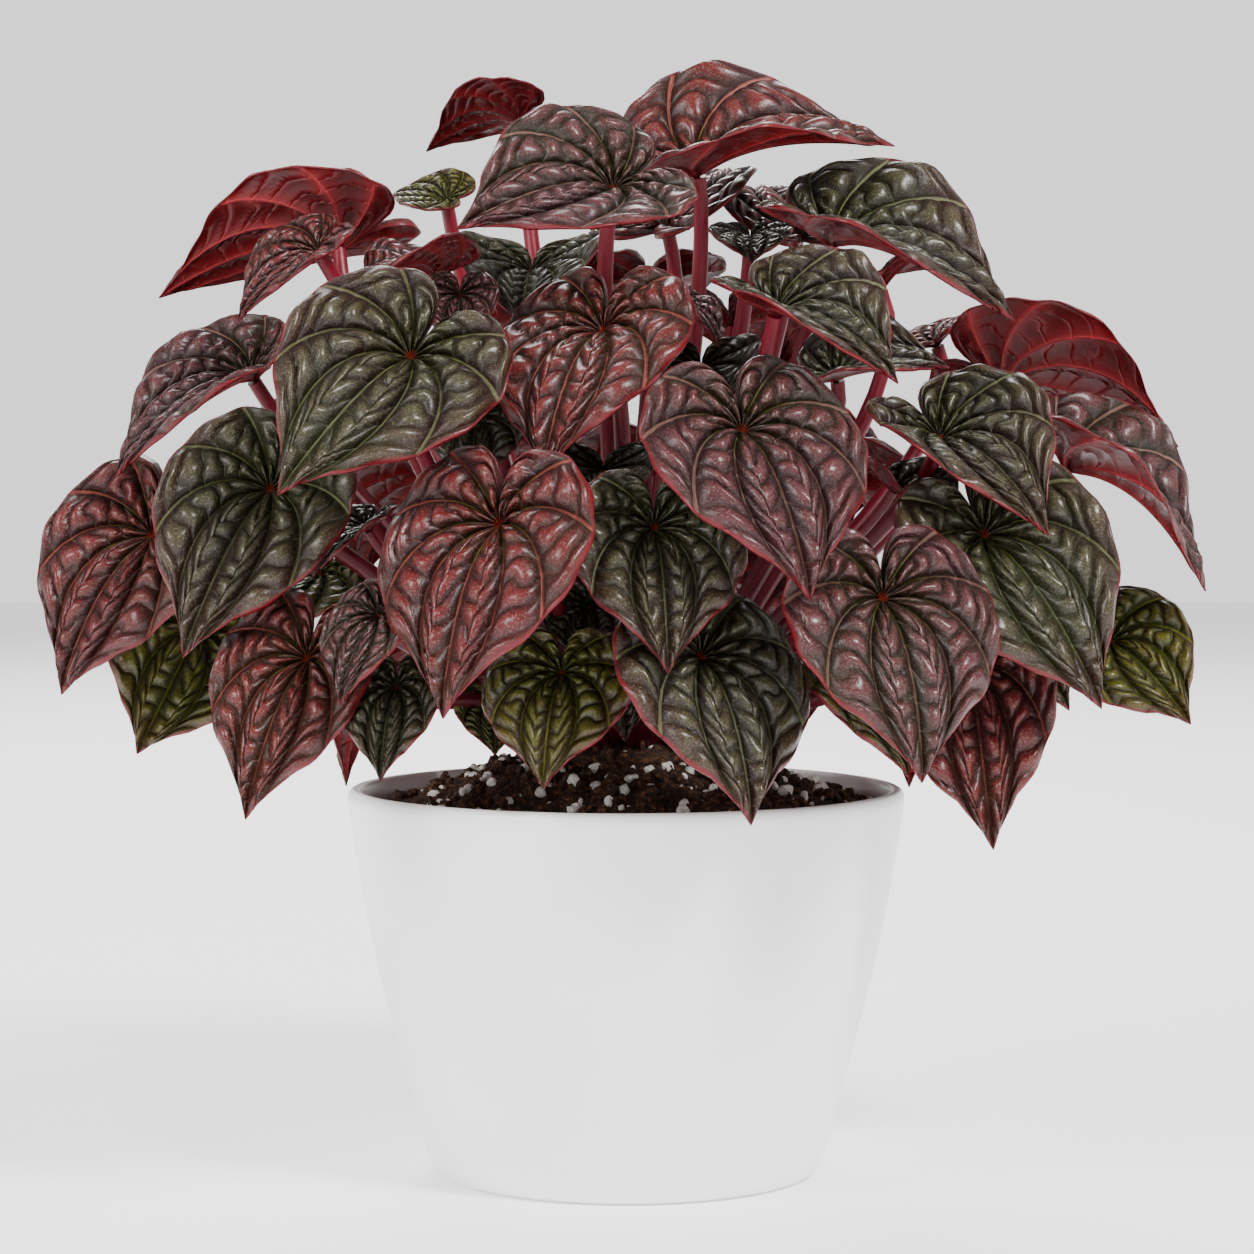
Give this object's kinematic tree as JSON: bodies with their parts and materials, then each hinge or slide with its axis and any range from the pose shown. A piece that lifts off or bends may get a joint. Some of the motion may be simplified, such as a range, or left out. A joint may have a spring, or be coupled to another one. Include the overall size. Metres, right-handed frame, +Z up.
{
  "type": "potted plant",
  "caption": "Ripple peperomia with quilted heart-shaped red-edged leaves on fleshy crimson stalks, planted in soil in a plain white tapering pot.",
  "frame": {"origin": "centre of the flat underside of the pot", "axes": "+Z up the pot's axis, -Y towards the viewer of the picture, +X to the viewer's right"},
  "size_m": [0.2694, 0.2084, 0.2606],
  "materials": {
    "leaf_dark": "quilted leaf, dark olive grey with a soft sheen",
    "leaf_bronze": "quilted leaf, red bronze with a soft sheen",
    "leaf_plum": "quilted leaf, silvery plum with a soft sheen",
    "leaf_olive": "quilted leaf, olive green with a soft sheen",
    "stalk": "smooth fleshy crimson stalk",
    "soil": "loose dark potting soil",
    "pot": "satin white moulded plastic"
  },
  "bodies": {
    "root": {"back_high_01": "leaf_bronze", "back_high_02": "leaf_bronze", "back_high_03": "leaf_bronze", "back_low_01": "leaf_olive", "back_low_02": "leaf_olive", "back_low_03": "leaf_olive", "back_low_04": "leaf_olive", "back_low_05": "leaf_olive", "back_middle_01": "leaf_dark", "back_middle_02": "leaf_dark", "back_middle_03": "leaf_dark", "back_middle_04": "leaf_dark", "back_middle_05": "leaf_dark", "back_middle_06": "leaf_dark", "crown": "stalk", "front_01": "leaf_bronze", "front_02": "leaf_dark", "front_03": "leaf_plum", "front_04": "leaf_bronze", "front_05": "leaf_dark", "front_06": "leaf_olive", "front_07": "leaf_plum", "front_08": "leaf_dark", "front_09": "leaf_dark", "front_10": "leaf_plum", "left_01": "leaf_dark", "left_02": "leaf_bronze", "left_03": "leaf_bronze", "left_04": "leaf_olive", "left_05": "leaf_olive", "left_06": "leaf_plum", "left_07": "leaf_bronze", "left_08": "leaf_bronze", "pot": "pot", "rear_01": "leaf_olive", "rear_02": "leaf_dark", "rear_03": "leaf_bronze", "rear_04": "leaf_bronze", "rear_05": "leaf_bronze", "rear_06": "leaf_bronze", "right_01": "leaf_dark", "right_02": "leaf_dark", "right_03": "leaf_dark", "right_04": "leaf_bronze", "right_05": "leaf_dark", "right_06": "leaf_plum", "right_07": "leaf_dark", "right_08": "leaf_olive", "right_09": "leaf_bronze", "right_10": "leaf_dark", "right_11": "leaf_olive", "soil": "soil", "top_01": "leaf_bronze", "top_02": "leaf_plum", "top_03": "leaf_bronze", "top_04": "leaf_bronze", "top_05": "leaf_dark"}
  },
  "joints": []
}
